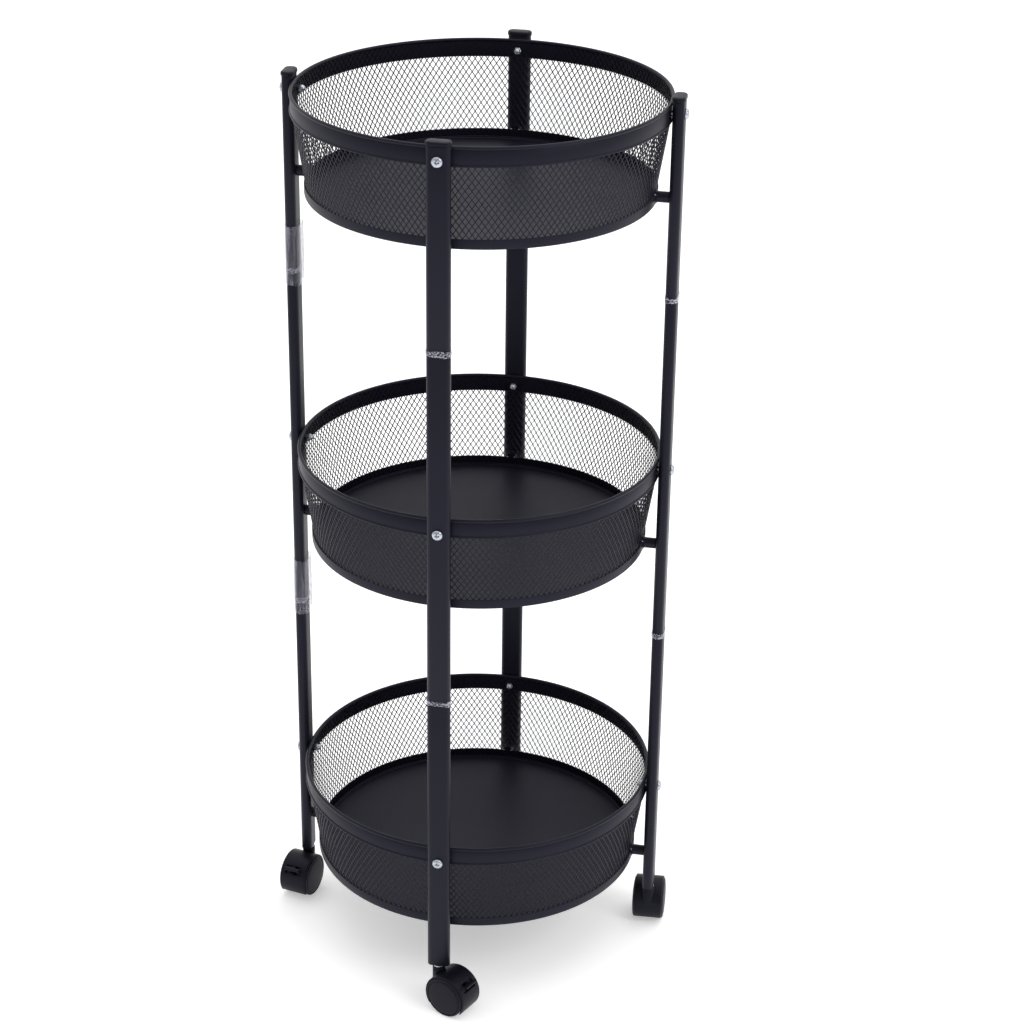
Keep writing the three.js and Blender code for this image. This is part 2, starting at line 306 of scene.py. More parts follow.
def zinc_plate():
    """Bright zinc plate with fine turning marks and a slightly dulled film."""
    base = colours().zinc
    finish = Finish("zinc_plate", base, 0.28, metallic=1)
    film = finish.noise(400, 3)
    marks = finish.noise(60, 1, finish.stretched((18, 18, 140)))
    finish.set("Base Color", finish.tone(film, scaled(base, 0.8), base))
    finish.set("Roughness", film * 0.16 + marks * 0.1 + 0.16)
    finish.bump(marks, 0.02 * MM, 0.4)
    return finish.material


def clear_film(name, streak, scale, cover):
    """Thin clear plastic: almost unseen face on, with a painted reflection whitening its edges and
    painted glints where it is creased.
    """
    finish = Finish(name, colours().film, 0.16, Specular_IOR_Level=0.6)
    creases_and_glints = finish.noise(scale, 2, finish.stretched(streak))
    # painted glints: thin bands where the crease noise peaks are made more opaque, so whiter, standing
    # in for highlights on the crinkled film; cover sets how bright these painted glints are
    painted_glint_lines = finish.node("ShaderNodeValToRGB", {"stops": ((0.52, 0), (0.57, 1), (0.62, 0), (0.72, 1))}, {
        "Fac": creases_and_glints}, output="Color")
    # painted reflection: the film turns more opaque, so whiter, towards its silhouette
    edge = finish.node("ShaderNodeLayerWeight", None, {"Blend": 0.32}, output="Facing")
    # opacity is the painted glints times cover, plus the painted edge reflection, plus a faint base
    finish.set("Alpha", (painted_glint_lines * cover + edge * 0.36 + 0.02).math("MINIMUM", 0.95))
    # the same crease noise also gives the film real roughness and bumps
    finish.set("Roughness", creases_and_glints * 0.2 + 0.06)
    finish.bump(creases_and_glints, 0.5 * MM, 0.5)
    return finish.material


FINISHES = {
    "powder_coat": powder_coat,
    "mesh_coat": lambda: powder_coat("mesh_coat", 0.46),
    "cap_plastic": lambda: moulding("cap_plastic", 0.38),
    "caster_plastic": lambda: moulding("caster_plastic", 0.42),
    "wheel_plastic": lambda: moulding("wheel_plastic", 0.46),
    "zinc": zinc_plate,
    # both clear finishes paint glints and an edge reflection into their opacity; the last number sets
    # how strong the painted glints are, strongest on the rings
    "clear_plastic": lambda: clear_film("clear_sleeve", (1, 1, 0.04), 420, 0.22),
    "clear_crease": lambda: clear_film("clear_crease", (1, 1, 1.6), 480, 0.7),
}


def finish_of(finish):
    """The material for one of the finishes above, made when it is first asked for."""
    key = f"cart {finish}"
    if key not in bpy.data.materials:
        FINISHES[finish]().name = key
    return bpy.data.materials[key]


# ---------- mesh building ----------

def arc(x, y, radius, start, end, steps):
    """Points on an arc about (x, y), from one angle in degrees to another."""
    turns = (math.radians(start + (end - start) * i / steps) for i in range(steps + 1))
    return [(x + radius * math.cos(t), y + radius * math.sin(t)) for t in turns]


def skin(bm, rows, wrapped=False, capped=False):
    """Joins rows of points, each row a closed ring. The last row may join the first, or both may
    be closed with a face. A row of one point is a pole."""
    made = [[bm.verts.new(point) for point in row] for row in rows]
    following = made[1:] + made[:1] if wrapped else made[1:]
    for low, high in zip(made, following):
        for i in range(max(len(low), len(high))):
            corners = []
            for row, k in ((low, i), (low, i + 1), (high, i + 1), (high, i)):
                vertex = row[k % len(row)]
                if vertex not in corners:
                    corners.append(vertex)
            bm.faces.new(corners)
    if capped:
        bm.faces.new(reversed(made[0]))
        bm.faces.new(made[-1])


def turned(outline, steps):
    """A bmesh of an outline of (radius, height) points turned about Z: an outline that starts
    and ends on the axis has poles there, and any other closes on itself."""
    bm = bmesh.new()
    spins = [2 * math.pi * i / steps for i in range(steps)]
    rows = [[(0, 0, z)] if r < TINY else [(r * math.cos(t), r * math.sin(t), z) for t in spins]
            for r, z in outline]
    skin(bm, rows, wrapped=outline[0][0] > TINY)
    return bm


def laid_along_x(bm, start=0.0, turn=90):
    """Lays a shape that was turned about Z along X, and moves it to where it starts."""
    bmesh.ops.rotate(bm, verts=bm.verts, matrix=Matrix.Rotation(math.radians(turn), 3, "Y"))
    bmesh.ops.translate(bm, verts=bm.verts, vec=(start, 0, 0))
    return bm


def to_mesh(bm, name, smooth_angle=35):
    """A mesh whose faces point outwards, smooth except over sharp edges."""
    bmesh.ops.remove_doubles(bm, verts=bm.verts, dist=TINY)
    bmesh.ops.recalc_face_normals(bm, faces=bm.faces)
    for face in bm.faces:
        face.smooth = True
    limit = math.radians(smooth_angle)
    for edge in bm.edges:
        edge.smooth = len(edge.link_faces) == 2 and edge.calc_face_angle() < limit
    mesh = bpy.data.meshes.new(name)
    bm.to_mesh(mesh)
    bm.free()
    return mesh


def solid(rows, name):
    """A mesh that joins rows of points and is closed at both ends."""
    bm = bmesh.new()
    skin(bm, rows, capped=True)
    return to_mesh(bm, name)


def linked(name, data):
    """An object for a mesh, a camera or a light, linked to the scene."""
    made = bpy.data.objects.new(name, data)
    bpy.context.scene.collection.objects.link(made)
    return made


def piece(name, mesh, slot, body=ROOT, replaces=(), finish=None):
    """Puts a finished mesh in the scene as one of the cart's pieces. Its finish is its slot's
    own unless another is named."""
    mesh.name = name
    mesh.materials.clear()
    mesh.materials.append(finish_of(finish or slot))
    made = linked(name, mesh)
    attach(made, body)
    if replaces:
        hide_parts(*replaces)


def evaluated_mesh(made):
    """The object's mesh with its modifiers applied; the object itself is then removed."""
    graph = bpy.context.evaluated_depsgraph_get()
    graph.update()
    result = bpy.data.meshes.new_from_object(made.evaluated_get(graph))
    made.modifiers.clear()
    bpy.data.objects.remove(made)
    return result


def carved(base, joined=(), cut=()):
    """A mesh with others joined to it and then cut from it."""
    sliver = 0.002 * MM
    made = linked("carving", base)
    tools = []
    for operation, meshes in (("UNION", joined), ("DIFFERENCE", cut)):
        for mesh in meshes:
            tool = linked("tool", mesh)
            modifier = made.modifiers.new("carve", "BOOLEAN")
            modifier.operation = operation
            modifier.solver = "EXACT"
            modifier.object = tool
            tools.append(tool)
    result = evaluated_mesh(made)
    for tool in tools:
        bpy.data.objects.remove(tool)
    bm = bmesh.new()
    bm.from_mesh(result)
    bmesh.ops.dissolve_degenerate(bm, edges=bm.edges, dist=sliver)
    return to_mesh(bm, "carved")


# ---------- geometry nodes ----------

class Weave(Tree):
    """A geometry node group with named inputs, applied to an empty object."""

    def __init__(self, name, inputs):
        self.group = bpy.data.node_groups.new(name, "GeometryNodeTree")
        self.values = dict(inputs)
        kinds = {float: "NodeSocketFloat", int: "NodeSocketInt"}
        for label, value in inputs.items():
            kind = kinds.get(type(value)) or f"NodeSocket{type(value).__name__}"
            self.group.interface.new_socket(label, in_out="INPUT", socket_type=kind)
        self.group.interface.new_socket("Geometry", in_out="OUTPUT", socket_type="NodeSocketGeometry")
        super().__init__(self.group)
        self.entry = self.data.nodes.new("NodeGroupInput")

    def input(self, label):
        return Value(self, self.entry.outputs[label])

    def shape_of(self, label):
        """The geometry of the object that an input holds."""
        return self.node("GeometryNodeObjectInfo", None, {"Object": self.input(label)},
                         output="Geometry")

    def vector(self, **axes):
        return self.node("ShaderNodeCombineXYZ", None, axes)

    def result(self, geometry):
        """Runs the tree with its inputs and gives the resulting mesh."""
        real = self.node("GeometryNodeRealizeInstances", None, {"Geometry": geometry})
        painted = self.node("GeometryNodeSetMaterial", None, {
            "Geometry": real, "Material": self.input("Material")})
        exit_node = self.data.nodes.new("NodeGroupOutput")
        self.feed(exit_node.inputs[0], painted)
        made = linked(self.group.name, bpy.data.meshes.new(self.group.name))
        modifier = made.modifiers.new(self.group.name, "NODES")
        modifier.node_group = self.group
        for item in self.group.interface.items_tree:
            if item.in_out == "INPUT":
                modifier[item.identifier] = self.values[item.name]
        return evaluated_mesh(made)


def repeated_at_posts(name, template, slot, first_height):
    """Copies of a mesh at each post on each tier. The template stands out from the axis along
    +X, as far as its copies do."""
    pattern = linked(f"{name} template", template)
    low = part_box("basket_bottom_rim")[1].z
    weave = Weave(name, {
        "Template": pattern,
        "Posts": len(POSTS),
        "Tiers": len(TIERS),
        "First Height": first_height,
        "Tier Spacing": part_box("basket_middle_rim")[1].z - low,
        "Material": finish_of(slot),
    })
    posts, tiers = weave.input("Posts"), weave.input("Tiers")
    index = weave.node("GeometryNodeInputIndex")
    tier = (index / posts).math("FLOOR")
    turn = (index % posts) / posts * (2 * math.pi)
    place = weave.vector(Z=tier * weave.input("Tier Spacing") + weave.input("First Height"))
    points = weave.node("GeometryNodePoints", None, {"Count": posts * tiers, "Position": place})
    copies = weave.node("GeometryNodeInstanceOnPoints", None, {
        "Points": points, "Instance": weave.shape_of("Template"), "Rotation": weave.vector(Z=turn)})
    mesh = weave.result(copies)
    bpy.data.objects.remove(pattern)
    return mesh


# ---------- baskets ----------

def rim_mesh(low, high):
    """A band with a rolled upper edge and a small hem along its foot."""
    s = sizes()
    bead, hem = s.rim_bead / 2, s.rim_hem / 2
    outer, inner = high.x, high.x - s.rim_hem
    face, under_bead, over_hem = inner + s.sheet, 0.2 * MM, 0.3 * MM
    outline = arc(outer - bead, high.z - bead, bead, -75, 245, 20)
    outline += [(inner, high.z - s.rim_bead), (inner, low.z + hem)]
    outline += arc(outer - hem, low.z + hem, hem, 180, 415, 12)[1:]
    outline += [(face, low.z + s.rim_hem + over_hem), (face, high.z - s.rim_bead - under_bead)]
    return to_mesh(turned(outline, s.round_steps), "rim", 40)


def diamond_cell():
    """One cell of the mesh, flat: a crossing at its middle and a quarter of one at each corner.
    Its sides are open where the next cells join on."""
    s = sizes()
    w, h, half = s.diamond_width, s.diamond_height, s.strand_width / 2
    run = math.hypot(w, h)
    side, foot = half * run / h, half * run / w
    bm = bmesh.new()
    sheets = []
    for y in (0, s.strand_depth):
        spot = {}
        for sx in (-1, 1):
            for sz in (-1, 1):
                spot[sx, sz, "corner"] = bm.verts.new((sx * w / 2, y, sz * h / 2))
                spot[sx, sz, "side"] = bm.verts.new((sx * w / 2, y, sz * (h / 2 - foot)))
                spot[sx, sz, "end"] = bm.verts.new((sx * (w / 2 - side), y, sz * h / 2))
            spot[sx, 0] = bm.verts.new((sx * side, y, 0))
            spot[0, sx] = bm.verts.new((0, y, sx * foot))
        bm.faces.new([spot[1, 0], spot[0, 1], spot[-1, 0], spot[0, -1]])
        for sx in (-1, 1):
            for sz in (-1, 1):
                bm.faces.new([spot[sx, 0], spot[sx, sz, "side"], spot[sx, sz, "corner"],
                              spot[sx, sz, "end"], spot[0, sz]])
        sheets.append(spot)
    front, back = sheets
    for sx in (-1, 1):
        for sz in (-1, 1):
            for a, b in (((sx, 0), (sx, sz, "side")), ((0, sz), (sx, sz, "end"))):
                bm.faces.new([front[a], front[b], back[b], back[a]])
    return to_mesh(bm, "diamond cell")


def wall_mesh(tier):
    """Expanded steel mesh rolled into a basket's wall: upright in the pan's groove, flared to
    the rim, and upright again behind the band."""
    s = sizes()
    low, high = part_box(f"basket_{tier}_mesh")
    top_radius, foot_radius = high.x, pan_foot_radius(tier)
    pattern = linked("cell", diamond_cell())
    weave = Weave(f"mesh weave {tier}", {
        "Cell": pattern,
        "Columns": round(math.pi * (top_radius + foot_radius) / s.diamond_width),
        "Rows": round((high.z - low.z) / s.diamond_height),
        "Cell Width": s.diamond_width,
        "Cell Height": s.diamond_height,
        "Foot Radius": foot_radius,
        "Top Radius": top_radius,
        "Foot": low.z,
        "Top": high.z,
        "Flare Start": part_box(f"basket_{tier}_pan")[1].z - s.sheet,
        "Flare End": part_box(f"basket_{tier}_rim")[0].z,
        "Weld Distance": 0.02 * MM,
        "Material": finish_of("mesh_coat"),
    })
    columns, rows = weave.input("Columns"), weave.input("Rows")
    width, height = weave.input("Cell Width"), weave.input("Cell Height")
    index = weave.node("GeometryNodeInputIndex")
    flat = weave.vector(X=(index % columns) * width, Z=((index / columns).math("FLOOR") + 0.5) * height)
    points = weave.node("GeometryNodePoints", None, {"Count": columns * rows, "Position": flat})
    copies = weave.node("GeometryNodeInstanceOnPoints", None, {
        "Points": points, "Instance": weave.shape_of("Cell")})
    sheet = weave.node("GeometryNodeRealizeInstances", None, {"Geometry": copies})
    position = weave.node("GeometryNodeInputPosition")
    split = weave.node("ShaderNodeSeparateXYZ", None, {"Vector": position})
    along, depth, up = (Value(weave, split.socket.node.outputs[axis]) for axis in "XYZ")
    turn = along / (columns * width) * (2 * math.pi)
    rise = up / (rows * height) * (weave.input("Top") - weave.input("Foot")) + weave.input("Foot")
    radius = weave.node("ShaderNodeMapRange", None, {
        "Value": rise,
        "From Min": weave.input("Flare Start"), "From Max": weave.input("Flare End"),
        "To Min": weave.input("Foot Radius"), "To Max": weave.input("Top Radius")}) - depth
    rolled = weave.vector(X=turn.math("COSINE") * radius, Y=turn.math("SINE") * radius, Z=rise)
    wall = weave.node("GeometryNodeSetPosition", None, {"Geometry": sheet, "Position": rolled})
    welded = weave.node("GeometryNodeMergeByDistance", None, {
        "Geometry": wall, "Distance": weave.input("Weld Distance")})
    mesh = weave.result(welded)
    bpy.data.objects.remove(pattern)
    bm = bmesh.new()
    bm.from_mesh(mesh)
    bmesh.ops.holes_fill(bm, edges=[edge for edge in bm.edges if edge.is_boundary], sides=8)
    return to_mesh(bm, f"mesh {tier}", 30)


def pan_foot_radius(tier):
    """The mesh's outside radius where the pan holds it, from the frame's own mesh."""
    node = frame["nodes"][f"basket_{tier}_mesh"]
    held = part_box(f"basket_{tier}_mesh")[0].z + 1 * MM
    return max(v.co.xy.length for v in node.data.vertices if v.co.z < held)


def pan_mesh(tier):
    """A pressed floor, its low outer wall, and the inner ring that clamps the mesh."""
    s = sizes()
    low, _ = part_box(f"basket_{tier}_pan")
    sheet, lip, groove = s.sheet, s.sheet / 2, pan_foot_radius(tier)
    corner, fillet = 1.8 * MM, 0.8 * MM
    outer, wall_top = groove + GAP + sheet, low.z + PAN_WALL
    ring_outer = groove - s.strand_depth - GAP
    ring_inner = ring_outer - sheet
    floor = low.z + sheet
    groove_floor, ring_top = floor + 0.2 * MM, floor + 1.8 * MM
    flat_under, flat_over = outer - 8 * MM, ring_inner - 10 * MM
    outline = [(0, low.z), (flat_under, low.z)]
    outline += arc(outer - corner, low.z + corner, corner, -90, 0, 6)
    outline += arc(outer - lip, wall_top - lip, lip, 0, 180, 6)
    outline += [(outer - sheet, groove_floor), (ring_outer, groove_floor)]
    outline += arc(ring_outer - lip, ring_top - lip, lip, 0, 180, 6)
    outline += arc(ring_inner - fillet, floor + fillet, fillet, 0, -90, 5)
    outline += [(flat_over, floor), (0, floor)]
    return to_mesh(turned(outline, s.round_steps), "pan", 40)


def spacer_mesh():
    """A short round bar that stands between pan and post, flared by its weld at the pan."""
    wall = pan_foot_radius("top") + 0.5 * MM
    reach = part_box("basket_top_pan")[1].x - wall
    radius, edge = 4.75 * MM, 0.5 * MM
    weld, weld_top, toe, toe_height = 1.1 * MM, 1.9 * MM, 1.3 * MM, 0.7 * MM
    outline = [(0, 0), (radius + toe, 0), (radius + toe - 0.1 * MM, toe_height)]
    outline += arc(radius + weld, weld_top, weld, 260, 180, 4)
    outline += [(radius, reach - edge), (radius - edge, reach), (0, reach)]
    return to_mesh(laid_along_x(turned(outline, 32), wall), "spacer")


def weld_mesh():
    """Two small weld beads over a spacer, on the top edge of the pan's wall."""
    edge = pan_foot_radius("top") + GAP + sizes().sheet / 2
    radius, apart, stretch = 1.0 * MM, 4 * MM, (0.9, 1.5, 0.8)
    beads = []
    for side in (-apart, apart):
        bm = bmesh.new()
        bmesh.ops.create_icosphere(bm, subdivisions=2, radius=radius)
        bmesh.ops.scale(bm, verts=bm.verts, vec=stretch)
        bmesh.ops.translate(bm, verts=bm.verts, vec=(edge, side, 0))
        beads.append(to_mesh(bm, "bead"))
    return carved(beads[0], joined=beads[1:])


class CART_OT_rims(bpy.types.Operator):
    """Make the rolled rims"""
    bl_idname = "cart.rims"
    bl_label = "Rims"

    def execute(self, context):
        for tier in TIERS:
            node = f"basket_{tier}_rim"
            piece(f"rim_{tier}", rim_mesh(*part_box(node)), "powder_coat", replaces=[node])
        return {"FINISHED"}


class CART_OT_walls(bpy.types.Operator):
    """Make the expanded-mesh walls"""
    bl_idname = "cart.walls"
    bl_label = "Mesh Walls"

    def execute(self, context):
        for tier in TIERS:
            node = f"basket_{tier}_mesh"
            piece(f"mesh_{tier}", wall_mesh(tier), "mesh_coat", replaces=[node])
        return {"FINISHED"}


class CART_OT_pans(bpy.types.Operator):
    """Make the pans, the spacers between them and the posts, and their welds"""
    bl_idname = "cart.pans"
    bl_label = "Pans"

    def execute(self, context):
        for tier in TIERS:
            node = f"basket_{tier}_pan"
            piece(f"pan_{tier}", pan_mesh(tier), "powder_coat", replaces=[node])
        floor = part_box("basket_bottom_pan")[0].z
        spacers = repeated_at_posts("spacers", spacer_mesh(), "powder_coat", floor + SPACER_RISE)
        piece("spacers", spacers, "powder_coat")
        beads = repeated_at_posts("weld beads", weld_mesh(), "zinc", floor + PAN_WALL)
        piece("weld_beads", beads, "zinc")
        return {"FINISHED"}


# ---------- posts ----------

def oval(inset, post):
    """A post's flat-oval outline, moved in by a distance, as points round its own centre."""
    low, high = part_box(f"post_{post}_lower")
    least_corner = 0.3 * MM
    corner = max(sizes().post_corner - inset, least_corner)
    thin, wide = sorted((high.x - low.x, high.y - low.y))
    x, y = thin / 2 - inset - corner, wide / 2 - inset - corner
    points = []
    for quarter, (sx, sy) in enumerate(((1, 1), (-1, 1), (-1, -1), (1, -1))):
        points += arc(sx * x, sy * y, corner, quarter * 90, quarter * 90 + 90, 8)
    return points


def post_place(post):
    """Moves a shape built round its own centre, with +X outwards, to a post."""
    low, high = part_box(f"post_{post}_lower")
    centre = (low + high) / 2
    turn = Matrix.Rotation(math.atan2(centre.y, centre.x), 4, "Z")
    return Matrix.Translation((centre.x, centre.y, 0)) @ turn


def oval_body(profile, post, **ends):
    """A solid with a post's outline: profile is (inset, height) points."""
    bm = bmesh.new()
    rows = [[(x, y, z) for x, y in oval(inset, post)] for inset, z in profile]
    skin(bm, rows, **ends)
    bm.transform(post_place(post))
    return bm


def tube_profile(low, high, shoulder, necked):
    """A tube's wall as (inset, height) points. A necked tube is drawn in above its shoulder, to
    plug into the next length."""
    wall, edge, bevel = 1 * MM, 0.35 * MM, 0.1 * MM
    profile = [(edge, low), (bevel, low + bevel), (0, low + edge)]
    profile += [(0, shoulder - edge), (bevel, shoulder - bevel), (edge, shoulder)]
    if not necked:
        return profile + [(wall, shoulder), (wall, low)]
    neck, draw_end, draw_start = wall + GAP, 4 * MM, 6 * MM
    profile += [(neck, shoulder), (neck, high - edge), (neck + edge, high)]
    profile += [(neck + wall, high), (neck + wall, shoulder - draw_end)]
    return profile + [(wall, shoulder - draw_start), (wall, low)]


class CART_OT_posts(bpy.types.Operator):
    """Make the lengths of flat-oval tube"""
    bl_idname = "cart.posts"
    bl_label = "Posts"

    def execute(self, context):
        for post in POSTS:
            for part, above in (("lower", "middle"), ("middle", "upper"), ("upper", None)):
                node = f"post_{post}_{part}"
                low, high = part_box(node)
                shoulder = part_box(f"post_{post}_{above}")[0].z - GAP if above else high.z
                profile = tube_profile(low.z, high.z, shoulder, necked=above is not None)
                tube = to_mesh(oval_body(profile, post, wrapped=True), node)
                piece(f"tube_{post}_{part}", tube, "powder_coat", replaces=[node])
        return {"FINISHED"}


def cap_profile(low, high, tube_top):
    """A cap's (inset, height) points: a plug in the tube, a lip over its end and a low crown."""
    plug, lip, crown, bevel, rise = 1.3 * MM, -0.7 * MM, 1.6 * MM, 0.3 * MM, 0.25 * MM
    under = tube_top + GAP
    profile = [(plug, low), (plug, under), (lip + bevel, under), (lip, under + bevel)]
    profile += [(lip + crown - x, z) for x, z in arc(0, high - rise - crown, crown, 0, 75, 5)]
    return profile + [(lip + crown + 0.6 * MM, high - 0.12 * MM), (2 * crown, high)]


class CART_OT_caps(bpy.types.Operator):
    """Make the plastic end caps"""
    bl_idname = "cart.caps"
    bl_label = "Caps"

    def execute(self, context):
        for post in POSTS:
            node = f"cap_{post}"
            low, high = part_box(node)
            profile = cap_profile(low.z, high.z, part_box(f"post_{post}_upper")[1].z)
            cap = to_mesh(oval_body(profile, post, capped=True), node)
            piece(f"end_cap_{post}", cap, "cap_plastic", replaces=[node])
        return {"FINISHED"}


def star_recess(size, depth):
    """A cross-shaped driver recess, narrowing as it goes in, as a cutter along X."""
    arm, above = size * 0.16, 1 * MM
    ring = []
    for quarter in range(4):
        turn = Matrix.Rotation(math.radians(90 * quarter), 2)
        ring += [turn @ Vector(p) for p in ((size / 2, -arm), (size / 2, arm), (arm, arm))]
    widths = ((-depth, 0.35), (0, 1.0), (above, 1.1))
    return solid([[(x, p.x * width, p.y * width) for p in ring] for x, width in widths], "recess")


def screw_mesh():
    """A pan-head screw with a cross recess, its axis along X and its head outwards."""
    low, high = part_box("screw_top_right")
    head, shank, tip = (high.y - low.y) / 2, 2.4 * MM, 0.8 * MM
    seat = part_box("post_right_upper")[1].x + 0.05 * MM
    side, fullness = seat + 0.7 * MM, 0.55
    outline = [(0, low.x), (shank * 0.7, low.x), (shank, low.x + tip), (shank, seat)]
    outline += [(head - 0.15 * MM, seat), (head, seat + 0.25 * MM)]
    outline += [(head * x ** fullness, side + (high.x - side) * z)
                for x, z in arc(0, 0, 1, 0, 75, 5)]
    outline += [(0, high.x)]
    recess = star_recess(4.6 * MM, 1.7 * MM)
    recess.transform(Matrix.Translation((high.x, 0, 0)))
    return carved(to_mesh(laid_along_x(turned(outline, 32)), "screw"), cut=[recess])


def nut_mesh():
    """A domed cap nut inside the rim."""
    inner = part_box("screw_top_right")[0].x
    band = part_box("basket_top_rim")[1].x - 3.4 * MM
    length, flats = band - inner + 0.8 * MM, 3.3 * MM
    dome_start = band - length * 0.7
    rings = ((flats - 0.4 * MM, band), (flats, band - 0.3 * MM), (flats, band - length * 0.6),
             (flats - 0.5 * MM, dome_start))
    six = [math.radians(60 * i) for i in range(6)]
    body = solid([[(x, r * math.cos(t), r * math.sin(t)) for t in six] for r, x in rings], "nut")
    root, collar, collar_top, dome = 0.5 * MM, 2.7 * MM, 0.2 * MM, 2.6 * MM
    outline = [(0, -root), (collar, -root), (collar, collar_top)]
    outline += arc(0, collar_top, dome, 10, 90, 6)[:-1] + [(0, collar_top + dome)]
    return carved(body, joined=[to_mesh(laid_along_x(turned(outline, 24), dome_start, -90), "dome")])


class CART_OT_screws(bpy.types.Operator):
    """Make the screws through the posts and the nuts inside the rims"""
    bl_idname = "cart.screws"
    bl_label = "Screws and Nuts"

    def execute(self, context):
        low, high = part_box("screw_bottom_right")
        height = (low.z + high.z) / 2
        nodes = [f"screw_{tier}_{post}" for tier in TIERS for post in POSTS]
        screws = repeated_at_posts("screws", screw_mesh(), "zinc", height)
        piece("screws", screws, "zinc", replaces=nodes)
        piece("nuts", repeated_at_posts("nuts", nut_mesh(), "zinc", height), "zinc")
        return {"FINISHED"}


def film_tube(post, low, high, room, thickness, beads, phase, wander=0.0):
    """Clear plastic round a post: beads is how many times it swells over its height, and
    wander how far it stands off to one side."""
    wave, ripple, fullness, steps = 0.35 * MM, 0.02, 0.03, 6 * beads
    outer, inner = oval(-room - thickness, post), oval(-room, post)
    turns = [2 * math.pi * i / len(outer) for i in range(len(outer))]
    rise = [wave * (math.sin(2 * t + phase) + 0.6 * math.sin(5 * t + 2 * phase)) for t in turns]
    crinkle = [1 + ripple * math.sin(7 * t + phase) for t in turns]
    rows = []
    for points, order in ((outer, range(steps + 1)), (inner, range(steps, -1, -1))):
        for k in order:
            share = k / steps
            swell = fullness * abs(math.sin(math.pi * share * beads))
            rows.append([
                (x * (bend + swell) + wander, y * (bend + swell) + wander,
                 low + (high - low) * share + lift * (2 * share - 1))
                for (x, y), lift, bend in zip(points, rise, crinkle)])
    bm = bmesh.new()
    skin(bm, rows, wrapped=True)
    bm.transform(post_place(post))
    return to_mesh(bm, "film")


class CART_OT_films(bpy.types.Operator):
    """Make the clear plastic round the posts' joints"""
    bl_idname = "cart.films"
    bl_label = "Clear Sleeves and Rings"

    def execute(self, context):
        for part, above, phase in (("lower", "middle", 0.4), ("middle", "upper", 1.9)):
            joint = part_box(f"post_left_{above}")[0].z
            sleeve = film_tube("left", joint - 13 * MM, joint + 41 * MM, room=1.3 * MM,
                               thickness=0.4 * MM, beads=1, phase=phase, wander=-0.7 * MM)
            piece(f"clear_sleeve_{part}", sleeve, "clear_plastic")
            for post in POSTS:
                ring = film_tube(post, joint - 1.7 * MM, joint + 3.0 * MM, room=0.25 * MM,
                                 thickness=0.35 * MM, beads=2, phase=phase + len(post))
                # the rings take the finish with the strongest painted glints
                piece(f"clear_ring_{post}_{part}", ring, "clear_plastic", finish="clear_crease")
        return {"FINISHED"}


# ---------- casters ----------

class CasterPlace:
    """Where a caster stands: its stem axis, its heading, and its axle, from the frame's joints."""

    def __init__(self, post):
        self.post = post
        self.body = f"caster_{post}"
        stem = Vector(JOINTS[f"swivel_{post}"]["pos_m"])
        spin = JOINTS[f"spin_{post}_a"]
        axle = Vector(spin["pos_m"])
        direction = Vector(spin["axis"])
        heading = math.atan2(-direction.x, direction.y)
        self.matrix = Matrix.Translation((stem.x, stem.y, 0)) @ Matrix.Rotation(heading, 4, "Z")
        self.trail = (axle.xy - stem.xy).length
        self.axle_height = axle.z
        brake = JOINTS.get(f"brake_press_{post}")
        self.brake = self.matrix.inverted() @ Vector(brake["pos_m"]) if brake else None
        self.measure()

    def measure(self):
        """Takes the hood's and the wheels' sizes from the frame's own solids."""
        hood, wheel = self.points("hood"), self.points("wheel_a")
        self.half_width = max(p.y for p in hood)
        sides = [self.from_axle(p) for p in hood if p.y > self.half_width - 0.1 * MM]
        self.hood_inner, self.hood_outer = min(sides), max(sides)
        self.hood_low, self.neck_top = min(p.z for p in hood), max(p.z for p in hood)
        self.wheel_outer = max(p.y for p in wheel)
        tread = max(self.from_axle(p) for p in wheel) - 0.2 * MM
        self.wheel_edge = max(p.y for p in wheel if self.from_axle(p) > tread) + 1 * MM

    def points(self, part):
        """The corners of one of the caster's solids, in the caster's own frame."""
        back = self.matrix.inverted()
        return [back @ v.co for v in frame["nodes"][f"caster_{self.post}_{part}"].data.vertices]

    def from_axle(self, point):
        return math.hypot(point.x - self.trail, point.z - self.axle_height)

    def from_pivot(self, distance, angle, side=0.0):
        """A point at a distance from the brake's pivot, at an angle above level."""
        return (self.brake.x + distance * math.cos(angle) - side * math.sin(angle),
                self.brake.z + distance * math.sin(angle) + side * math.cos(angle))

    def strip(self, start, end, high, low, half):
        """A brake lever's outline between two distances from its pivot and two of its angles."""
        return [self.from_pivot(start, high, half), self.from_pivot(start, low, -half),
                self.from_pivot(end, low, -half), self.from_pivot(end, high, half)]

    def barrel(self, radius, steps):
        """A round outline about the brake's pivot."""
        return arc(self.brake.x, self.brake.z, radius, 0, 360, steps)[:-1]


def across(outline, steps, caster):
    """An outline of (radius, distance along the axle) that starts and ends on a caster's axle,
    turned about it."""
    bm = bmesh.new()
    spins = [2 * math.pi * i / steps for i in range(steps)]
    rows = []
    for r, y in outline:
        ring = [(caster.trail + r * math.cos(t), y, caster.axle_height + r * math.sin(t)) for t in spins]
        rows.append(ring[:1] if r < TINY else ring)
    skin(bm, rows)
    return bm


def disc(radius, low, high, steps, caster):
    return to_mesh(across([(0, low), (radius, low), (radius, high), (0, high)], steps, caster), "disc")


def bar(points, half_width):
    """A side outline of (x, z) points given a width about the caster's middle plane."""
    return solid([[(x, y, z) for x, z in points] for y in (-half_width, half_width)], "bar")


def hood_shell(caster, skirt):
    """The arched cover over both wheels, rounded over at its sides."""
    edge, steps = 1.0 * MM, 64
    section = [(caster.half_width, caster.hood_inner)]
    section += arc(caster.half_width - edge, caster.hood_outer - edge, edge, 0, 90, 4)
    section += [(-y, r) for y, r in reversed(section)]
    turns = [math.radians(skirt + (180 - 2 * skirt) * k / steps) for k in range(steps + 1)]
    return solid([[(caster.trail + r * math.cos(t), y, caster.axle_height + r * math.sin(t))
                   for y, r in section] for t in turns], "shell")


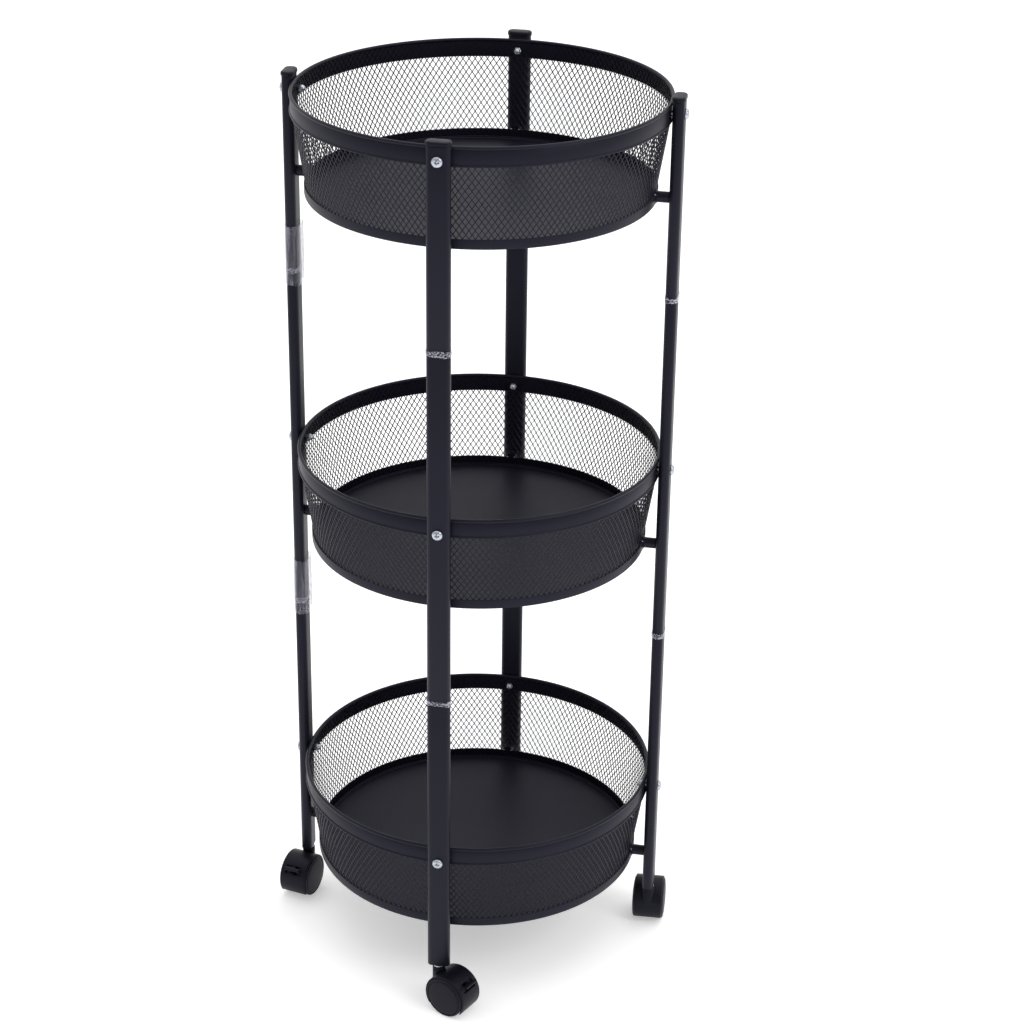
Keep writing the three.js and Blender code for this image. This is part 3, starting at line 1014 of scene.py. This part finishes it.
def hood_mesh(caster):
    """Cover, middle web and neck in one moulding, with the bores for stem and axle, the neck's
    notches, and the brake's slot where there is one."""
    inner, top = caster.hood_inner, caster.neck_top
    web_half, beyond_wheel, beyond_web = 2.2 * MM, 30 * MM, 4 * MM
    neck_radius, neck_edge, bore_radius, axle_bore = 5.75 * MM, 0.6 * MM, 3.7 * MM, 2.8 * MM
    skirt = math.degrees(math.asin((caster.hood_low - caster.axle_height) / caster.hood_outer))
    side = arc(caster.trail, caster.axle_height, inner + 0.5 * MM, skirt, 180 - skirt, 48)
    neck = turned([(0, caster.axle_height), (neck_radius, caster.axle_height),
                   (neck_radius, top - neck_edge), (neck_radius - 0.2 * MM, top - 0.2 * MM),
                   (neck_radius - neck_edge, top), (0, top)], 48)
    bore_foot, bore_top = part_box(f"caster_{caster.post}_stem")[0].z - GAP, top + 1 * MM
    bore = turned([(0, bore_foot), (bore_radius, bore_foot), (bore_radius, bore_top),
                   (0, bore_top)], 24)
    cuts = [disc(inner, web_half, beyond_wheel, 96, caster),
            disc(inner, -beyond_wheel, -web_half, 96, caster),
            to_mesh(bore, "bore"), disc(axle_bore, -beyond_web, beyond_web, 24, caster)]
    cuts += [notch(side * neck_radius, top) for side in (-1, 1)]
    if caster.brake:
        cuts += brake_room(caster)
    joined = [bar(side, web_half), to_mesh(neck, "neck")]
    mesh = carved(hood_shell(caster, skirt), joined=joined, cut=cuts)
    mesh.transform(caster.matrix)
    return mesh


def notch(y, top):
    """A cutter for a small square recess in the side of the neck."""
    half, depth, low, high = 1.4 * MM, 0.7 * MM, top - 3 * MM, top - 1.4 * MM
    section = [(y - depth, low), (y + depth, low), (y + depth, high), (y - depth, high)]
    return solid([[(x, *point) for point in section] for x in (-half, half)], "notch")


def brake_room(caster):
    """The lever's pocket in the web and its slot through the cover."""
    s = sizes()
    high = s.brake_rise
    low = high - math.radians(JOINTS[f"brake_press_{caster.post}"]["range_deg"][1])
    half, reach, pocket_half, slot_start = 1.9 * MM, 22 * MM, 2.9 * MM, 6.9 * MM
    slot_half = s.brake_tab / 2 + 0.6 * MM
    return [bar(caster.strip(0, reach, high, low, half), pocket_half),
            bar(caster.barrel(2.5 * MM, 20), pocket_half),
            bar(caster.strip(slot_start, reach, high, low, half), slot_half)]


def lever_mesh(caster):
    """The brake lever: a round pivot end, an arm and a wide tab with a rounded tip."""
    s = sizes()
    high, half = s.brake_rise, 1.3 * MM
    root, tip, overlap = s.brake_reach - 3.4 * MM, s.brake_reach, 1 * MM
    arm = caster.strip(0, root + overlap, high, high, half)
    tab = [caster.from_pivot(root, high, -half)]
    tab += [caster.from_pivot(x, high, side) for x, side in arc(tip - half, 0, half, -90, 90, 6)]
    tab += [caster.from_pivot(root, high, half)]
    pivot = bar(caster.barrel(2.2 * MM, 24), 1.9 * MM)
    return carved(pivot, joined=[bar(arm, 1.85 * MM), bar(tab, s.brake_tab / 2)])


def wheel_mesh(caster, side):
    """A narrow nylon wheel with a soft-edged tread and a domed outer face in a shallow groove."""
    radius, edge, outer = caster.axle_height, caster.wheel_edge, caster.wheel_outer
    inner, fillet, shoulder, bore = 2.8 * MM, 0.8 * MM, 1.3 * MM, 2.7 * MM
    bore_end, groove = outer - 1.75 * MM, edge - 0.4 * MM
    dome, dome_foot = radius - 2.8 * MM, edge + 0.05 * MM
    outline = [(0, bore_end), (bore, bore_end), (bore, inner), (radius - fillet, inner)]
    outline += arc(radius - fillet, inner + fillet, fillet, -90, 0, 4)[1:]
    outline += arc(radius - shoulder, edge - shoulder, shoulder, 0, 90, 6)
    outline += [(radius - 1.9 * MM, edge), (radius - 2.1 * MM, groove),
                (radius - 2.5 * MM, groove), (dome, dome_foot)]
    outline += [(dome * x, dome_foot + (outer - dome_foot) * y) for x, y in arc(0, 0, 1, 12, 77, 5)]
    outline += [(0, outer)]
    bm = across([(r, side * y) for r, y in outline], 80, caster)
    bm.transform(caster.matrix)
    return to_mesh(bm, "wheel", 32)


class CART_OT_casters(bpy.types.Operator):
    """Make the casters' stems, hoods, wheels and brake levers"""
    bl_idname = "cart.casters"
    bl_label = "Casters"

    def execute(self, context):
        for post in POSTS:
            caster = CasterPlace(post)
            node = f"caster_{post}_hood"
            piece(f"hood_{post}", hood_mesh(caster), "caster_plastic", caster.body, [node])
            for letter, side in (("a", 1), ("b", -1)):
                node = f"caster_{post}_wheel_{letter}"
                piece(f"wheel_{post}_{letter}", wheel_mesh(caster, side), "wheel_plastic",
                      f"wheel_{post}_{letter}", [node])
            if caster.brake:
                mesh = lever_mesh(caster)
                mesh.transform(caster.matrix)
                piece(f"brake_lever_{post}", mesh, "caster_plastic", f"brake_{post}",
                      [f"caster_{post}_brake"])
            self.stem(caster)
        return {"FINISHED"}

    def stem(self, caster):
        """The plated flange and pin, and the plug in the foot of the post."""
        node = f"caster_{caster.post}_stem"
        low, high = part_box(node)
        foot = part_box(f"post_{caster.post}_lower")[0].z
        flange_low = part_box(f"caster_{caster.post}_hood")[1].z + GAP
        flange_high, pin_top = foot - GAP, foot + 1 * MM
        pin, pin_edge, flange, rounding = 3.5 * MM, 0.5 * MM, 5.2 * MM, 0.4 * MM
        outline = [(0, low.z), (pin - pin_edge, low.z), (pin, low.z + pin_edge), (pin, flange_low)]
        outline += arc(flange - rounding, flange_low + rounding, rounding, -90, 0, 3)
        outline += arc(flange - rounding, flange_high - rounding, rounding, 0, 90, 3)
        outline += [(pin, flange_high), (pin, pin_top), (0, pin_top)]
        bm = turned(outline, 36)
        bm.transform(caster.matrix)
        piece(f"stem_{caster.post}", to_mesh(bm, node), "zinc", replaces=[node])
        side, foot_side, top_side = 1.3 * MM, 1.6 * MM, 2 * MM
        profile = [(foot_side, foot + 0.1 * MM), (side, foot + 0.4 * MM)]
        profile += [(side, high.z - 1 * MM), (top_side, high.z)]
        plug = oval_body(profile, caster.post, capped=True)
        piece(f"plug_{caster.post}", to_mesh(plug, "plug"), "cap_plastic")


class CART_OT_axles(bpy.types.Operator):
    """Give the frame's axles their plated finish"""
    bl_idname = "cart.axles"
    bl_label = "Axles"

    def execute(self, context):
        for post in POSTS:
            axle = frame["nodes"][f"caster_{post}_axle"]
            axle.data.materials.clear()
            axle.data.materials.append(finish_of("zinc"))
        return {"FINISHED"}


# ---------- stage ----------

class CART_OT_stage(bpy.types.Operator):
    """Make the camera, the floor and the studio light"""
    bl_idname = "cart.stage"
    bl_label = "Stage"

    def execute(self, context):
        self.camera(context)
        self.floor()
        self.world(context)
        self.area("key", (1.9, -1.0, 2.0), 1.0, 14)
        self.area("top", (0.0, 0.6, 3.2), 3.0, 28)
        return {"FINISHED"}

    def camera(self, context):
        stage = context.scene.cart_stage
        data = bpy.data.cameras.new("camera")
        data.sensor_width = 36
        data.lens = stage.lens
        camera = linked("camera", data)
        stand = Matrix.Rotation(stage.bearing, 4, "Z") @ Vector((0, -stage.distance, stage.height))
        aim = (Matrix.Rotation(stage.bearing - stage.yaw, 4, "Z")
               @ Matrix.Rotation(math.pi / 2 - stage.pitch, 4, "X")
               @ Matrix.Rotation(stage.roll, 4, "Z"))
        camera.matrix_world = Matrix.Translation(stand) @ aim
        context.scene.camera = camera

    def floor(self):
        finish = Finish("studio floor", colours().floor, 0.9, Specular_IOR_Level=0.1,
                        Emission_Color=(1, 1, 1, 1), Emission_Strength=0.38)
        cloud = finish.noise(2.0, 2)
        finish.set("Base Color", finish.tone(cloud, scaled(colours().floor, 0.99), colours().floor))
        bm = bmesh.new()
        bmesh.ops.create_grid(bm, x_segments=1, y_segments=1, size=30)
        mesh = bpy.data.meshes.new("studio floor")
        bm.to_mesh(mesh)
        bm.free()
        mesh.materials.append(finish.material)
        floor = linked("studio_floor", mesh)

    def world(self, context):
        """White all round to the eye, and a little darker from the viewer's side as light."""
        stage = context.scene.cart_stage
        world = bpy.data.worlds.new("studio")
        world.use_nodes = True
        tree = Tree(world.node_tree)
        background = world.node_tree.nodes["Background"]
        coordinates = world.node_tree.nodes.new("ShaderNodeTexCoord")
        direction = Value(tree, coordinates.outputs["Generated"])
        back = Matrix.Rotation(stage.bearing, 3, "Z") @ Vector((0, 0.8, 0.6))
        facing = tree.node("ShaderNodeVectorMath", {"operation": "DOT_PRODUCT"}, {
            0: direction, 1: back}, output="Value")
        share = tree.node("ShaderNodeMapRange", {"interpolation_type": "SMOOTHSTEP"}, {
            "Value": facing, "From Min": -0.5, "From Max": 0.6, "To Min": stage.front, "To Max": 1.0})
        seen = tree.node("ShaderNodeLightPath", output="Is Camera Ray")
        tree.feed(background.inputs["Strength"], seen.math("MAXIMUM", share) * stage.world)
        background.inputs["Color"].default_value = (1, 1, 1, 1)
        context.scene.world = world
        context.scene.view_settings.view_transform = "Standard"

    def area(self, name, place, size, power):
        data = bpy.data.lights.new(name, "AREA")
        data.shape = "SQUARE"
        data.size = size
        data.energy = power
        light = linked(name, data)
        light.location = place
        aim = Vector((0, 0, 0.42)) - Vector(place)
        light.rotation_euler = aim.to_track_quat("-Z", "Y").to_euler()


class CART_PT_sidebar(bpy.types.Panel):
    """The cart's pieces, sizes and colours"""
    bl_label = "Mesh Cart"
    bl_space_type = "VIEW_3D"
    bl_region_type = "UI"
    bl_category = "Cart"

    def draw(self, context):
        for group in ("cart_sizes", "cart_colours", "cart_stage"):
            values = getattr(context.scene, group)
            box = self.layout.box()
            for name in values.__annotations__:
                box.prop(values, name)
        for operator in OPERATORS:
            self.layout.operator(operator.bl_idname)


GROUPS = {"cart_sizes": CartSizes, "cart_colours": CartColours, "cart_stage": CartStage}
OPERATORS = (
    CART_OT_rims, CART_OT_walls, CART_OT_pans, CART_OT_posts, CART_OT_caps, CART_OT_screws,
    CART_OT_films, CART_OT_casters, CART_OT_axles, CART_OT_stage,
)


def register():
    for cls in (*GROUPS.values(), *OPERATORS, CART_PT_sidebar):
        bpy.utils.register_class(cls)
    for name, group in GROUPS.items():
        setattr(bpy.types.Scene, name, PointerProperty(type=group))


def unregister():
    for name in GROUPS:
        delattr(bpy.types.Scene, name)
    for cls in reversed((*GROUPS.values(), *OPERATORS, CART_PT_sidebar)):
        bpy.utils.unregister_class(cls)


def main():
    register()
    for operator in OPERATORS:
        family, name = operator.bl_idname.split(".")
        getattr(getattr(bpy.ops, family), name)()


if __name__ == "__main__":
    main()
